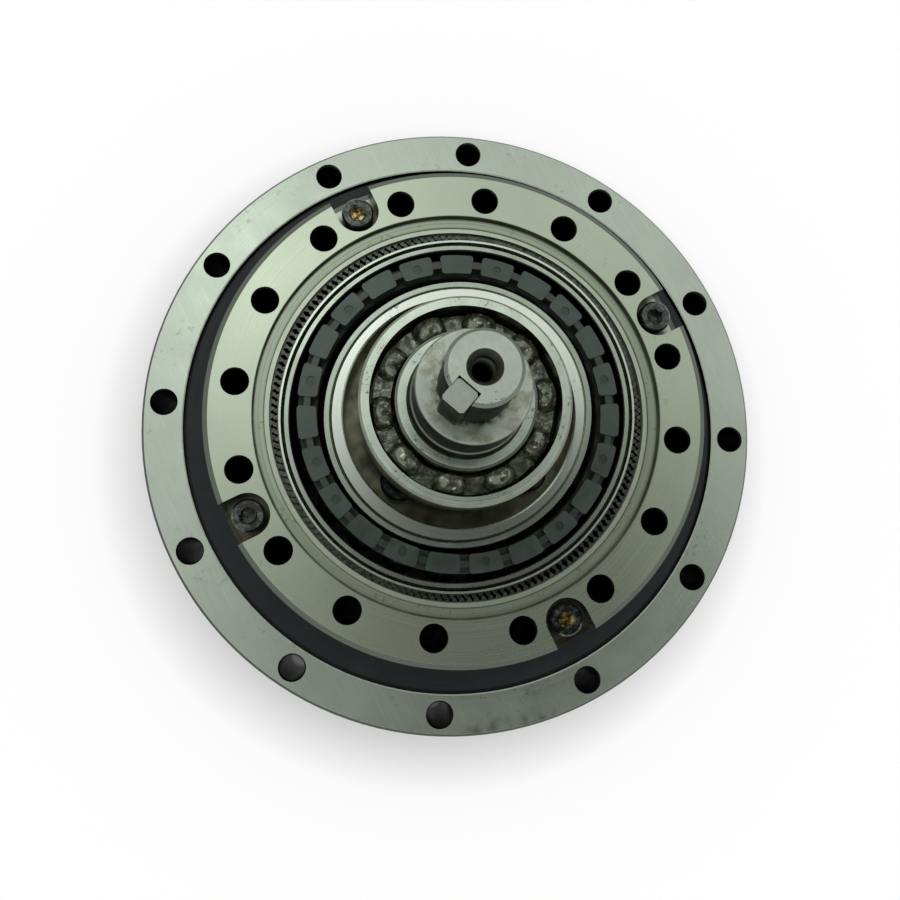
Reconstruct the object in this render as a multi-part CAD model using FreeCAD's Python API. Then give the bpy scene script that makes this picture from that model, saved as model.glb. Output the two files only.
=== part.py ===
# Robot gear reducer: a strain wave gear set carried by a crossed roller bearing, with its input shaft.
# Millimetres. Z runs along the shaft, and Z = 0 is the rear face of the flexspline flange.
import FreeCAD, Part
import math
import os

from FreeCAD import Vector

# Fits
SEAT = 0.01            # radial gap of a piece that is pressed or screwed onto its neighbour
RUN = 0.05             # radial gap of a piece that turns beside its neighbour
CHAMFER = 0.4          # broken edge of the turned rings

# Output ring and crossed roller bearing
OUTPUT_D = 70.0
OUTPUT_WALL = 9.6      # output edge outside the flexspline's pitch circle
SEAL_W = 4.2           # radial width of the seal band around the output
RING_WALL = 5.8        # outer ring wall outside the seal
RING_H = 18.0
RING_SLIT = 0.3        # gap between the two bearing rings
ROLLER_D = 4.0
ROLLER_L = 3.88
ROLLER_PLAY = 0.06
ROLLER_STEP = 4.95     # least room for a roller and a spacer round the track
ROLLER_UP = 7.5        # roller plane above the flange
SPACER_SIDE = 3.6
SPACER_PLAY = 0.1
INNER_RING_UP = 1.5    # inner ring above the flange
INNER_RING_GAP = 3.2   # inner ring bore outside the flexspline cup
SEAL_EDGE = 0.15       # broken edge of the outer ring beside the seal
SEAL_H = 3.2
SEAL_SINK = 0.2        # seal face below the ring face
SEAL_FIT = 0.03
SEAL_RIM_W = 0.5
SEAL_RIM_SINK = 0.9
SEAL_LIP_W = 1.15
SEAL_LIP_H = 1.9

# Bolt circles
CASE_HOLES = 12
CASE_HOLE_D = 3.5
CASE_HOLE_EDGE = 3.0   # hole centres inside the flange edge
OUTPUT_HOLES = 16
OUTPUT_HOLE_D = 3.5
OUTPUT_HOLE_EDGE = 4.0
OUTPUT_HOLE_DEPTH = 12.0
OUTPUT_TAP_D = 2.5
OUTPUT_TAP_DEPTH = 4.0
HOLE_EDGE = 0.2        # hole mouths wider than the holes
HOLE_EDGE_L = 0.35

# Filling plug of the roller track
FILL_ANGLE = 45.0
FILL_D = 6.2
FILL_PIN_D = 1.6
FILL_PIN_L = 9.0

# Circular spline
OUTPUT_STAND = 8.0     # output face above the outer ring face
SPLINE_T = 10.5
OUTPUT_EDGE_W = 0.7    # shallow bevel around the output face
OUTPUT_EDGE_H = 0.3
FACE_SINK = 0.8        # sunk band around the teeth
FACE_SINK_W = 2.4
LEDGE_W = 0.65         # ledge between the band and the internal teeth
LEDGE_SINK = 0.12
TOOTH_DROP = 0.6       # internal tooth ends below the band
MOUTH_STEP = 0.2
POCKETS = 4
POCKET_W = 6.0
POCKET_DEPTH = 3.0
POCKET_EDGE = 3.0      # screw centres inside the output edge

# Strain wave teeth
FLEX_TEETH = 160
TEETH_MORE = 2         # teeth that the circular spline has more
ADDENDUM = 0.25
DEDENDUM = 0.30
FLANK_ANGLE = 25.0
BACKLASH = 0.03
WAVE_ANGLE = 22.5      # long axis of the wave generator at rest

# Flexspline
FLANGE_T = 3.0
FLANGE_W = 7.5
RIM_WALL = 0.75        # wall under the teeth
RIM_SINK = 0.5         # rim below the output face
RIM_LAND = 0.17        # bare rim inside the tooth roots
RIM_EDGE = 0.3
TOOTH_SINK = 0.4       # tooth ends below the rim
TOOTH_L = 8.5
CUP_WALL = 0.45
DISC_UP = 1.2          # thin disc above the rear face
DISC_T = 0.6
DISC_ROUND = 1.2
ROUND_L = 4.0          # round length of the cup above the disc

# Wave generator bearing
WAVE_FIT = 0.03
OUTER_RACE_T = 0.85
INNER_RACE_T = 0.97
RACE_GAP = 4.55
RACE_W = 7.6
RACE_SINK = 0.2        # races below the plug face
RACE_EDGE = 0.15
WAVE_BALL_D = 5.0
WAVE_BALL_STEP = 5.7   # least room for a ball round the ball circle
CAGE_IN = 1.5          # cage inside the ball circle
CAGE_OUT = 1.15        # cage outside the ball circle
CAGE_PROUD = 1.2
CAGE_TAIL = 0.9        # cage fingers past the ball centres
POCKET_PLAY = 0.12
CAGE_ANGLE = 1.65
NECK_W = 0.9           # necks that join the pads
NECK_SINK = 0.2
NOTCH_W = 1.3
NOTCH_DEPTH = 2.1
PAD_ROUND = 0.45
MARK_FIRST = 12        # first pad with a moulding mark, then every second one
MARK_D = 1.3
MARK_DEPTH = 0.15
MARK_IN = 0.35         # moulding marks inside the ball circle

# Wave generator plug
PLUG_T = 8.3
PLUG_WALL = 1.8
PLUG_RECESS = 4.5
PLUG_EDGE = 0.25
PLUG_SCREWS = 4

# Front bearing on the shaft
FRONT_BORE_D = 15.0
FRONT_BALL_D = 4.0
FRONT_W = 7.0
FRONT_INNER_WALL = 1.8
FRONT_OUTER_WALL = 1.4
FRONT_BALLS = 10
FRONT_BALL_ANGLE = 16.4

# Rear bearing on the shaft
REAR_BORE_D = 8.0
REAR_BALL_D = 3.3
REAR_W = 6.0
REAR_INNER_WALL = 1.45
REAR_OUTER_WALL = 1.45
REAR_BALLS = 8
REAR_BALL_ANGLE = 0.0

# Grooves, ribbon cages and ring edges of both shaft bearings
GROOVE_DEPTH = 0.35
RIBBON_T = 0.35
RIBBON_GAP = 0.5       # cage band from the rings
RING_EDGE = 0.35

# Shaft
COLLAR_EDGE = 1.0      # collar outside the plug screws
COLLAR_T = 5.0
SLEEVE_L = 6.0
SLEEVE_WALL = 1.6
SEAT_L = 2.4           # bare seat in front of the front bearing
SHOULDER_L = 6.0
SHOULDER_STEP = 0.3    # shoulder under the seat, at the radius
SHOULDER_EDGE = 0.2
NECK_D = 12.0
NECK_L = 4.7
TAIL_L = 0.5
END_D = 9.0
END_L = 9.5
SHAFT_EDGE = 0.45
END_HOLE_D = 3.0
END_HOLE_DEPTH = 8.0
END_MOUTH_D = 4.2
END_CONE_ANGLE = 60.0

# Key
KEY_W = 3.0
KEY_H = 3.0
KEY_L = 7.5
KEY_SINK = 0.3         # key end below the shaft end
KEY_FOOT = 2.7         # foot of the key from the axis
KEY_EDGE = 0.3
KEYWAY_PLAY = 0.12     # under the key and on its loose side

# Screws: thread, head and socket sizes
HEX_SIDES = 6
SMALL_D = 2.5
SMALL_HEAD_D = 4.5
SMALL_HEAD_H = 2.5
SMALL_SOCKET = 2.0
SMALL_L = 10.0
MIDDLE_D = 3.0
MIDDLE_HEAD_D = 5.5
MIDDLE_HEAD_H = 3.0
MIDDLE_SOCKET = 2.5
MIDDLE_L = 8.0
SOCKET_DEPTH = 1.3
SOCKET_EDGE = 0.1      # socket mouths wider than the socket corners
HEAD_EDGE = 0.25
FLAT_HEAD_D = 4.7
FLAT_HEAD_H = 1.1
FLAT_SOCKET = 1.5
FLAT_SOCKET_DEPTH = 0.7
FLAT_L = 9.0
FLAT_SINK = 0.1
FLAT_SCREWS = 4
FLAT_ANGLE = 15.0

# Radii worked out from the sizes above
OUTPUT_R = OUTPUT_D / 2
SEAL_R = OUTPUT_R + SEAL_W
FLANGE_R = SEAL_R + RING_WALL
CASE_HOLE_R = FLANGE_R - CASE_HOLE_EDGE
OUTPUT_HOLE_R = OUTPUT_R - OUTPUT_HOLE_EDGE
POCKET_R = OUTPUT_R - POCKET_EDGE
FLEX_PITCH_R = OUTPUT_R - OUTPUT_WALL
MODULE = 2 * FLEX_PITCH_R / FLEX_TEETH
WAVE = MODULE * TEETH_MORE / 2
SPLINE_PITCH_R = FLEX_PITCH_R + WAVE
SPLINE_ROOT_R = SPLINE_PITCH_R + DEDENDUM
RIM_R = FLEX_PITCH_R - DEDENDUM - RIM_WALL
CUP_R = RIM_R + CUP_WALL
INNER_BORE_R = CUP_R + INNER_RING_GAP
OUTER_RACE_R = RIM_R - WAVE_FIT
OUTER_LAND_R = OUTER_RACE_R - OUTER_RACE_T
INNER_LAND_R = OUTER_LAND_R - RACE_GAP
BALL_CIRCLE_R = (OUTER_LAND_R + INNER_LAND_R) / 2
INNER_RACE_R = INNER_LAND_R - INNER_RACE_T
PLUG_R = INNER_RACE_R - SEAT
RECESS_R = PLUG_R - PLUG_WALL
SLEEVE_R = FRONT_BORE_D / 2 + SLEEVE_WALL
PLUG_SCREW_R = (SLEEVE_R + RECESS_R) / 2
COLLAR_R = PLUG_SCREW_R + MIDDLE_D / 2 + COLLAR_EDGE

# Counts worked out from the room on their circles
ROLLERS = 2 * math.floor(math.pi * OUTPUT_R / ROLLER_STEP)
WAVE_BALLS = math.floor(2 * math.pi * BALL_CIRCLE_R / WAVE_BALL_STEP)

# Heights worked out from the sizes above
RING_TOP = FLANGE_T + RING_H
OUTPUT_TOP = RING_TOP + OUTPUT_STAND
SPLINE_LOW = OUTPUT_TOP - SPLINE_T
BAND_Z = OUTPUT_TOP - FACE_SINK
ROLLER_Z = FLANGE_T + ROLLER_UP
RIM_TOP = OUTPUT_TOP - RIM_SINK
TOOTH_TOP = RIM_TOP - TOOTH_SINK
TOOTH_LOW = TOOTH_TOP - TOOTH_L
DISC_TOP = DISC_UP + DISC_T
PLUG_TOP = RIM_TOP
PLUG_LOW = PLUG_TOP - PLUG_T
RECESS_Z = PLUG_TOP - PLUG_RECESS
RACE_TOP = PLUG_TOP - RACE_SINK
RACE_LOW = RACE_TOP - RACE_W
BALL_Z = (RACE_TOP + RACE_LOW) / 2
CAGE_TOP = RACE_TOP + CAGE_PROUD
FRONT_LOW = RECESS_Z + SLEEVE_L
FRONT_TOP = FRONT_LOW + FRONT_W
SEAT_TOP = FRONT_TOP + SEAT_L
SHOULDER_TOP = SEAT_TOP + SHOULDER_L
SHAFT_TOP = SHOULDER_TOP + END_L
COLLAR_LOW = PLUG_LOW - COLLAR_T
REAR_TOP = COLLAR_LOW - NECK_L
REAR_LOW = REAR_TOP - REAR_W
SHAFT_LOW = REAR_LOW - TAIL_L

AXIS = Vector(0, 0, 1)
CENTRE = Vector(0, 0, 0)
FULL_TURN = 360.0
HALF_TURN = 180.0
ROLLER_LEAN = 45.0


# Building blocks
def cylinder(diameter, z_low, z_high, radius=0.0, angle=0.0):
    """Upright cylinder, its axis at a radius and angle from Z."""
    shape = Part.makeCylinder(diameter / 2, z_high - z_low, Vector(radius, 0, z_low))
    return turn(shape, angle)


def turn(shape, angle):
    """Copy of a shape, turned about Z."""
    copy = shape.copy()
    copy.rotate(CENTRE, AXIS, angle)
    return copy


def around(shape, count, start=0.0):
    """Evenly spaced copies of a shape about Z."""
    return [turn(shape, start + FULL_TURN * index / count) for index in range(count)]


def turned(corners):
    """Solid turned about Z from (radius, height, chamfer) corners, chamfer 0 where sharp."""
    points = []
    for index, (radius, height, chamfer) in enumerate(corners):
        here = Vector(radius, 0, height)
        if chamfer == 0:
            points.append(here)
            continue
        for beside in (corners[index - 1], corners[(index + 1) % len(corners)]):
            leg = Vector(beside[0], 0, beside[1]).sub(here)
            points.append(here.add(leg.normalize().multiply(chamfer)))
    outline = Part.makePolygon(points + points[:1])
    return Part.Face(outline).revolve(CENTRE, AXIS, FULL_TURN)


def ring(inner_r, outer_r, z_low, z_high, chamfer=0.0):
    """Plain ring with its outer edges chamfered."""
    return turned([
        (inner_r, z_low, 0), (outer_r, z_low, chamfer),
        (outer_r, z_high, chamfer), (inner_r, z_high, 0)])


def oval_wire(mean_r, z):
    """Ellipse of the wave generator, long axis at the wave angle."""
    ellipse = Part.Ellipse(Vector(0, 0, z), mean_r + WAVE, mean_r - WAVE)
    return turn(Part.Wire(ellipse.toShape()), WAVE_ANGLE)


def oval(mean_r, z_low, z_high):
    """Upright oval prism."""
    return Part.Face(oval_wire(mean_r, z_low)).extrude(Vector(0, 0, z_high - z_low))


def oval_cone(low_r, high_r, z_low, z_high):
    """Oval prism that narrows or widens upwards."""
    return Part.makeLoft([oval_wire(low_r, z_low), oval_wire(high_r, z_high)], True, True)


def edged_oval(mean_r, z_low, z_high, edge):
    """Oval prism whose front edge is broken, inward for a plus edge and outward for a minus edge."""
    bend = z_high - abs(edge)
    return oval(mean_r, z_low, bend).fuse(oval_cone(mean_r, mean_r - edge, bend, z_high))


def oval_ring(inner_r, outer_r, z_low, z_high, edge):
    """Oval ring with an even wall and broken front edges."""
    return edged_oval(outer_r, z_low, z_high, edge).cut(edged_oval(inner_r, z_low, z_high, -edge))


def bolt_hole(diameter, z_low, z_high, radius):
    """Upright hole with a wider mouth at its top."""
    corner = Vector(radius, 0, z_high - HOLE_EDGE_L)
    mouth = Part.makeCone(diameter / 2, diameter / 2 + HOLE_EDGE, HOLE_EDGE_L, corner)
    return cylinder(diameter, z_low, z_high, radius).fuse(mouth)


def ball_ring(ball_d, circle_r, z, count, start=0.0):
    """Balls evenly spaced on a circle, their poles facing the axis."""
    ball = Part.makeSphere(ball_d / 2, Vector(circle_r, 0, z), Vector(1, 0, 0))
    return around(ball, count, start)


def ball_track(ball_d, circle_r, z, play):
    """Torus that the balls sweep."""
    return Part.makeTorus(circle_r, ball_d / 2 + play, Vector(0, 0, z), AXIS)


def hexagon(across, z_low, depth):
    """Hexagon prism for a screw socket."""
    corner = Vector(across / math.sqrt(3), 0, z_low)
    points = [turn(Part.Vertex(corner), FULL_TURN * side / HEX_SIDES).Point for side in range(HEX_SIDES)]
    return Part.Face(Part.makePolygon(points + points[:1])).extrude(Vector(0, 0, depth))


def cap_screw(thread_d, head_d, head_h, socket, length, seat_z):
    """Socket head screw on the Z axis, head seated at a height."""
    head_top = seat_z + head_h
    body = turned([
        (0, seat_z - length, 0), (thread_d / 2, seat_z - length, HEAD_EDGE),
        (thread_d / 2, seat_z, 0), (head_d / 2, seat_z, 0),
        (head_d / 2, head_top, HEAD_EDGE), (0, head_top, 0)])
    mouth_r = socket / math.sqrt(3) + SOCKET_EDGE
    mouth = Part.makeCone(0, mouth_r, mouth_r, Vector(0, 0, head_top - mouth_r))
    return body.cut(hexagon(socket, head_top - SOCKET_DEPTH, SOCKET_DEPTH)).cut(mouth)


def flat_screw_body(play):
    """Countersunk screw from the rear face, widened by a play for its hole."""
    head_r = FLAT_HEAD_D / 2 + play
    thread_r = SMALL_D / 2 + play
    return turned([
        (0, FLAT_SINK, 0), (head_r, FLAT_SINK, 0), (thread_r, FLAT_SINK + FLAT_HEAD_H, 0),
        (thread_r, FLAT_SINK + FLAT_L + play, 0), (0, FLAT_SINK + FLAT_L + play, 0)])


def place(shape, radius, count, start):
    """Copies of a shape made on the Z axis, moved out to a circle."""
    moved = shape.copy()
    moved.translate(Vector(radius, 0, 0))
    return around(moved, count, start)


def cut_all(shape, tools):
    """Shape with a list of tools cut away."""
    return shape.cut(Part.makeCompound(tools))


def toothed(teeth, pitch_r, outward, inward, half_w, wave, z_low, z_high):
    """Prism with trapezium teeth that stand outward, bent into the wave shape."""
    slope = math.tan(math.radians(FLANK_ANGLE))
    corners = [
        (-half_w - inward * slope, -inward), (-half_w + outward * slope, outward),
        (half_w - outward * slope, outward), (half_w + inward * slope, -inward)]
    points = []
    for tooth in range(teeth):
        phase = 2 * math.pi * tooth / teeth
        lift = wave * math.cos(2 * phase)
        shift = -wave / 2 * math.sin(2 * phase)
        for side, height in corners:
            angle = phase + (side + shift) / pitch_r
            radius = pitch_r + height + lift
            points.append(Vector(radius * math.cos(angle), radius * math.sin(angle), z_low))
    prism = Part.Face(Part.makePolygon(points + points[:1])).extrude(Vector(0, 0, z_high - z_low))
    return turn(prism, WAVE_ANGLE)


def save(name, solids):
    """Write one node, a single solid or a group of like solids."""
    Part.makeCompound(solids).exportStep("parts/" + name + ".step")


# Crossed roller bearing
def roller_channel():
    """Square track of the rollers, standing on its corner."""
    half = (ROLLER_D / 2 + ROLLER_PLAY) * math.sqrt(2)
    return turned([
        (OUTPUT_R - half, ROLLER_Z, 0), (OUTPUT_R, ROLLER_Z - half, 0),
        (OUTPUT_R + half, ROLLER_Z, 0), (OUTPUT_R, ROLLER_Z + half, 0)])


def fill_hole(play):
    """Radial hole through the outer ring to the roller track."""
    start = Vector(OUTPUT_R, 0, ROLLER_Z)
    shape = Part.makeCylinder(FILL_D / 2 - play, FLANGE_R, start, Vector(1, 0, 0))
    return turn(shape, FILL_ANGLE)


def fill_pin(play):
    """Pin that locks the filling plug, from the hidden rear face of the ring."""
    return cylinder(FILL_PIN_D + 2 * play, FLANGE_T, FLANGE_T + FILL_PIN_L, CASE_HOLE_R, FILL_ANGLE)


def outer_ring_and_plug():
    seal_floor = RING_TOP - SEAL_SINK - SEAL_H
    bore_r = OUTPUT_R + RING_SLIT / 2
    blank = turned([
        (bore_r, FLANGE_T, CHAMFER), (FLANGE_R, FLANGE_T, CHAMFER), (FLANGE_R, RING_TOP, CHAMFER),
        (SEAL_R, RING_TOP, SEAL_EDGE), (SEAL_R, seal_floor, 0), (bore_r, seal_floor, 0)])
    blank = blank.cut(roller_channel()).cut(fill_pin(SEAT))
    plug = blank.common(fill_hole(SEAT))
    holes = around(bolt_hole(CASE_HOLE_D, 0, RING_TOP, CASE_HOLE_R), CASE_HOLES)
    screws = place(flat_screw_body(SEAT), CASE_HOLE_R, FLAT_SCREWS, FLAT_ANGLE)
    outer = cut_all(blank.cut(fill_hole(0)), holes + screws)
    return outer, plug


def oil_seal():
    top = RING_TOP - SEAL_SINK
    floor = top - SEAL_H
    case_r = SEAL_R - SEAL_FIT
    step_r = case_r - SEAL_RIM_W
    lip_r = OUTPUT_R + RUN
    body_r = lip_r + SEAL_LIP_W
    rim_top = RING_TOP - SEAL_RIM_SINK
    return turned([
        (body_r, floor, 0), (case_r, floor, 0), (case_r, rim_top, 0), (step_r, rim_top, 0),
        (step_r, top, 0), (lip_r, top, 0), (lip_r, top - SEAL_LIP_H, 0), (body_r, top - SEAL_LIP_H, 0)])


def output_bolt_holes():
    clear_low = OUTPUT_TOP - OUTPUT_HOLE_DEPTH
    tap_low = clear_low - OUTPUT_TAP_DEPTH
    hole = bolt_hole(OUTPUT_HOLE_D, clear_low, OUTPUT_TOP, OUTPUT_HOLE_R)
    tap = cylinder(OUTPUT_TAP_D, tap_low, clear_low, OUTPUT_HOLE_R)
    half_step = FULL_TURN / OUTPUT_HOLES / 2
    return around(hole, OUTPUT_HOLES, half_step) + around(tap, OUTPUT_HOLES, half_step)


def assembly_screw(play):
    """Screw of the circular spline, or its hole with some play."""
    seat_z = OUTPUT_TOP - POCKET_DEPTH
    return cylinder(SMALL_D + 2 * play, seat_z - SMALL_L - play, seat_z, POCKET_R)


def bearing_inner_ring():
    low = FLANGE_T + INNER_RING_UP
    blank = ring(INNER_BORE_R, OUTPUT_R - RING_SLIT / 2, low, SPLINE_LOW, CHAMFER)
    screws = around(assembly_screw(SEAT), POCKETS)
    return cut_all(blank.cut(roller_channel()), output_bolt_holes() + screws)


def rollers():
    """Rollers whose axes lean in and out by turns."""
    half = Vector(0, 0, ROLLER_L / 2)
    upright = Part.makeCylinder(ROLLER_D / 2, ROLLER_L, CENTRE.sub(half))
    solids = []
    for index in range(ROLLERS):
        roller = upright.copy()
        lean = ROLLER_LEAN if index % 2 else -ROLLER_LEAN
        roller.rotate(CENTRE, Vector(0, 1, 0), lean)
        roller.translate(Vector(OUTPUT_R, 0, ROLLER_Z))
        solids.append(turn(roller, FULL_TURN * index / ROLLERS))
    return solids


def roller_spacers():
    gap = 2 * OUTPUT_R * math.sin(math.pi / ROLLERS) - ROLLER_D
    thick = gap - 2 * SPACER_PLAY
    corner = Vector(-SPACER_SIDE / 2, -thick / 2, -SPACER_SIDE / 2)
    plate = Part.makeBox(SPACER_SIDE, thick, SPACER_SIDE, corner)
    plate.rotate(CENTRE, Vector(0, 1, 0), ROLLER_LEAN)
    plate.translate(Vector(OUTPUT_R * math.cos(math.pi / ROLLERS), 0, ROLLER_Z))
    return around(plate, ROLLERS, FULL_TURN / ROLLERS / 2)


# Strain wave gear set
def circular_spline():
    mouth_r = SPLINE_ROOT_R + MOUTH_STEP
    ledge_z = BAND_Z - LEDGE_SINK
    tooth_top = BAND_Z - TOOTH_DROP
    band_r = SPLINE_ROOT_R + FACE_SINK_W
    blank = turned([
        (RIM_R, SPLINE_LOW, 0), (OUTPUT_R, SPLINE_LOW, 0), (OUTPUT_R, OUTPUT_TOP - OUTPUT_EDGE_H, 0),
        (OUTPUT_R - OUTPUT_EDGE_W, OUTPUT_TOP, 0), (band_r, OUTPUT_TOP, 0), (band_r, BAND_Z, 0),
        (mouth_r + LEDGE_W, BAND_Z, 0), (mouth_r + LEDGE_W, ledge_z, 0), (mouth_r, ledge_z, 0),
        (mouth_r, tooth_top, 0), (RIM_R, tooth_top, 0)])
    half_w = math.pi * MODULE / 4 + BACKLASH / 4
    teeth = FLEX_TEETH + TEETH_MORE
    spaces = toothed(teeth, SPLINE_PITCH_R, DEDENDUM, ADDENDUM, half_w, 0, SPLINE_LOW, OUTPUT_TOP)
    floor = OUTPUT_TOP - POCKET_DEPTH
    corner = Vector(POCKET_R, -POCKET_W / 2, floor)
    mouth = Part.makeBox(POCKET_EDGE * 2, POCKET_W, POCKET_DEPTH, corner)
    pocket = cylinder(POCKET_W, floor, OUTPUT_TOP, POCKET_R).fuse(mouth)
    tools = output_bolt_holes() + around(pocket, POCKETS) + around(assembly_screw(SEAT), POCKETS)
    return cut_all(blank.cut(spaces), tools)


def flexspline_base():
    """Flange, thin disc and the round length of the cup."""
    flange_in = FLANGE_R - FLANGE_W
    top = DISC_TOP + ROUND_L
    bend = DISC_ROUND * (1 - math.sqrt(0.5))
    outer_bend = Vector(CUP_R + bend, 0, DISC_TOP + bend)
    wide = DISC_ROUND + CUP_WALL
    inner_bend_r = RIM_R + wide * (1 - math.sqrt(0.5))
    inner_bend = Vector(inner_bend_r, 0, DISC_UP + wide * (1 - math.sqrt(0.5)))
    points = [
        Vector(RIM_R, 0, top), Vector(CUP_R, 0, top), Vector(CUP_R, 0, DISC_TOP + DISC_ROUND),
        Vector(CUP_R + DISC_ROUND, 0, DISC_TOP), Vector(flange_in, 0, DISC_TOP),
        Vector(flange_in, 0, FLANGE_T), Vector(FLANGE_R, 0, FLANGE_T), Vector(FLANGE_R, 0, CHAMFER),
        Vector(FLANGE_R - CHAMFER, 0, 0), Vector(flange_in, 0, 0), Vector(flange_in - DISC_UP, 0, DISC_UP),
        Vector(RIM_R + wide, 0, DISC_UP), Vector(RIM_R, 0, DISC_UP + wide)]
    bends = {2: outer_bend, 11: inner_bend}
    edges = []
    for index, here in enumerate(points):
        there = points[(index + 1) % len(points)]
        if index in bends:
            edges.append(Part.Arc(here, bends[index], there).toShape())
        else:
            edges.append(Part.LineSegment(here, there).toShape())
    return Part.Face(Part.Wire(edges)).revolve(CENTRE, AXIS, FULL_TURN)


def flexspline():
    round_top = DISC_TOP + ROUND_L
    skins = []
    for radius in (CUP_R, RIM_R):
        circle = Part.Wire(Part.Circle(Vector(0, 0, round_top), AXIS, radius).toShape())
        skins.append(Part.makeLoft([turn(circle, WAVE_ANGLE), oval_wire(radius, TOOTH_LOW)], True, True))
    half_w = math.pi * MODULE / 4 - BACKLASH / 4
    teeth = toothed(FLEX_TEETH, FLEX_PITCH_R, ADDENDUM, DEDENDUM, half_w, WAVE, TOOTH_LOW, TOOTH_TOP)
    land = oval(FLEX_PITCH_R - DEDENDUM - RIM_LAND, TOOTH_LOW, RIM_TOP)
    rim = teeth.fuse(land).cut(edged_oval(RIM_R, TOOTH_LOW, RIM_TOP, -RIM_EDGE))
    cup = flexspline_base().fuse(skins[0].cut(skins[1])).fuse(rim)
    holes = around(cylinder(CASE_HOLE_D, 0, FLANGE_T, CASE_HOLE_R), CASE_HOLES)
    screws = place(flat_screw_body(SEAT), CASE_HOLE_R, FLAT_SCREWS, FLAT_ANGLE)
    sinks = around(cylinder(FLAT_HEAD_D + 2 * SEAT, 0, FLAT_SINK, CASE_HOLE_R), FLAT_SCREWS, FLAT_ANGLE)
    return cut_all(cup, holes + screws + sinks)


def wave_races():
    track = ball_track(WAVE_BALL_D, BALL_CIRCLE_R, BALL_Z, WAVE_FIT)
    outer = oval_ring(OUTER_LAND_R, OUTER_RACE_R, RACE_LOW, RACE_TOP, RACE_EDGE).cut(track)
    inner = oval_ring(INNER_RACE_R, INNER_LAND_R, RACE_LOW, RACE_TOP, RACE_EDGE).cut(track)
    return outer, inner


def wave_cage():
    """Crown cage: a round cornered pad over each ball, narrow necks between the pads."""
    inner_r = BALL_CIRCLE_R - CAGE_IN
    outer_r = BALL_CIRCLE_R + CAGE_OUT
    neck_in = (inner_r + outer_r - NECK_W) / 2
    blank = ring(inner_r, outer_r, BALL_Z - CAGE_TAIL, CAGE_TOP)
    tools = []
    for low_r, high_r, depth in (
            (inner_r - NOTCH_W, neck_in, NOTCH_DEPTH),
            (neck_in + NECK_W, outer_r + NOTCH_W, NOTCH_DEPTH),
            (neck_in, neck_in + NECK_W, NECK_SINK)):
        corner = Vector(low_r, -NOTCH_W / 2, CAGE_TOP - depth)
        notch = Part.makeBox(high_r - low_r, NOTCH_W, depth, corner)
        tools += around(notch, WAVE_BALLS, FULL_TURN / WAVE_BALLS / 2)
    padded = cut_all(blank, tools)
    corners = [edge for edge in padded.Edges if abs(edge.Length - NOTCH_DEPTH) < SEAT]
    padded = padded.makeFillet(PAD_ROUND, corners)
    pockets = ball_ring(WAVE_BALL_D + 2 * POCKET_PLAY, BALL_CIRCLE_R, BALL_Z, WAVE_BALLS)
    mark = cylinder(MARK_D, CAGE_TOP - MARK_DEPTH, CAGE_TOP, BALL_CIRCLE_R - MARK_IN)
    marks = around(mark, WAVE_BALLS, FULL_TURN * MARK_FIRST / WAVE_BALLS)[::2]
    return turn(cut_all(padded, pockets + marks), CAGE_ANGLE)


def wave_plug():
    blank = edged_oval(PLUG_R, PLUG_LOW, PLUG_TOP, PLUG_EDGE)
    recess = turned([
        (0, RECESS_Z, 0), (RECESS_R, RECESS_Z, 0), (RECESS_R, PLUG_TOP - PLUG_EDGE, 0),
        (RECESS_R + PLUG_EDGE, PLUG_TOP, 0), (0, PLUG_TOP, 0)])
    bore = cylinder(FRONT_BORE_D + 2 * SEAT, PLUG_LOW, PLUG_TOP)
    holes = around(cylinder(MIDDLE_D + 2 * SEAT, PLUG_LOW, PLUG_TOP, PLUG_SCREW_R), PLUG_SCREWS, WAVE_ANGLE)
    return cut_all(blank, [recess, bore] + holes)


# Shaft, key and shaft bearings
def key_block():
    """Key before it is turned to its place."""
    corner = Vector(KEY_FOOT, -KEY_W / 2, SHAFT_TOP - KEY_SINK - KEY_L)
    return Part.makeBox(KEY_H, KEY_W, KEY_L, corner)


def keyway():
    """Slot for the key, open at the shaft end, with play under the key and on one side."""
    low = SHAFT_TOP - KEY_SINK - KEY_L - SEAT
    corner = Vector(KEY_FOOT - KEYWAY_PLAY, -KEY_W / 2 - SEAT, low)
    return Part.makeBox(KEY_H + KEYWAY_PLAY, KEY_W + SEAT + KEYWAY_PLAY, SHAFT_TOP - low, corner)


def shaft_key():
    blank = key_block()
    long_edges = [edge for edge in blank.Edges if edge.Length > max(KEY_W, KEY_H)]
    return turn(blank.makeChamfer(KEY_EDGE, long_edges), WAVE_ANGLE + HALF_TURN)


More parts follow.
